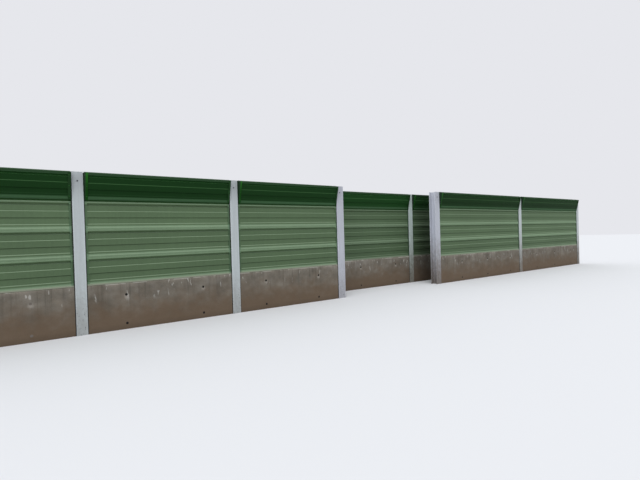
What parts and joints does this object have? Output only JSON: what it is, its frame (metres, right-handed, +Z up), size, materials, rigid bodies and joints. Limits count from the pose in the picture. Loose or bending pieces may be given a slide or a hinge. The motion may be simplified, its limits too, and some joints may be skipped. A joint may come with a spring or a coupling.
{
  "type": "noise barrier section",
  "caption": "Railway noise barrier: H-posts, concrete plinths and stacked ribbed cassettes, the top one leaning forward, with a screened niche between the lines.",
  "frame": {"origin": "centre of the flat foot of the third post of the near line, at ground level", "axes": "+X along the barrier to the right as seen from the track, -Y towards the track, +Z up"},
  "size_m": [23.15, 1.2459, 2.883],
  "materials": {
    "post_paint": "light grey coating on hot-dip galvanised rolled steel",
    "concrete": "precast concrete, weathered and stained",
    "cassette_paint": "pale green coated aluminium sheet, roll-formed and finely perforated",
    "top_cassette_paint": "dark green coated aluminium sheet, roll-formed and finely perforated",
    "cap_paint": "bright green coated folded aluminium sheet",
    "bracket_paint": "green coated steel",
    "sill_paint": "dark coated folded aluminium sheet",
    "seal_rubber": "matt EPDM rubber"
  },
  "bodies": {
    "root": {"post_a0": "post_paint", "post_a1": "post_paint", "post_a2": "post_paint", "post_a3": "post_paint", "plinth_a1": "concrete", "plinth_a2": "concrete", "plinth_a3": "concrete", "low_cassettes_a": "cassette_paint", "middle_cassettes_a": "cassette_paint", "high_cassettes_a": "cassette_paint", "top_cassette_a1": "top_cassette_paint", "top_cassette_a2": "top_cassette_paint", "top_cassette_a3": "top_cassette_paint", "end_caps_a": "cap_paint", "brackets_a": "bracket_paint", "wedge_sills_a": "sill_paint", "seals_a": "seal_rubber", "post_b0": "post_paint", "post_b1": "post_paint", "post_b2": "post_paint", "plinth_b1": "concrete", "plinth_b2": "concrete", "low_cassettes_b": "cassette_paint", "middle_cassettes_b": "cassette_paint", "high_cassettes_b": "cassette_paint", "top_cassette_b1": "top_cassette_paint", "top_cassette_b2": "top_cassette_paint", "end_caps_b": "cap_paint", "brackets_b": "bracket_paint", "wedge_sills_b": "sill_paint", "seals_b": "seal_rubber", "post_c0": "post_paint", "post_c1": "post_paint", "post_c2": "post_paint", "plinth_c1": "concrete", "plinth_c2": "concrete", "low_cassettes_c": "cassette_paint", "middle_cassettes_c": "cassette_paint", "high_cassettes_c": "cassette_paint", "top_cassette_c1": "top_cassette_paint", "top_cassette_c2": "top_cassette_paint", "end_caps_c": "cap_paint", "brackets_c": "bracket_paint", "wedge_sills_c": "sill_paint", "seals_c": "seal_rubber"}
  },
  "joints": []
}
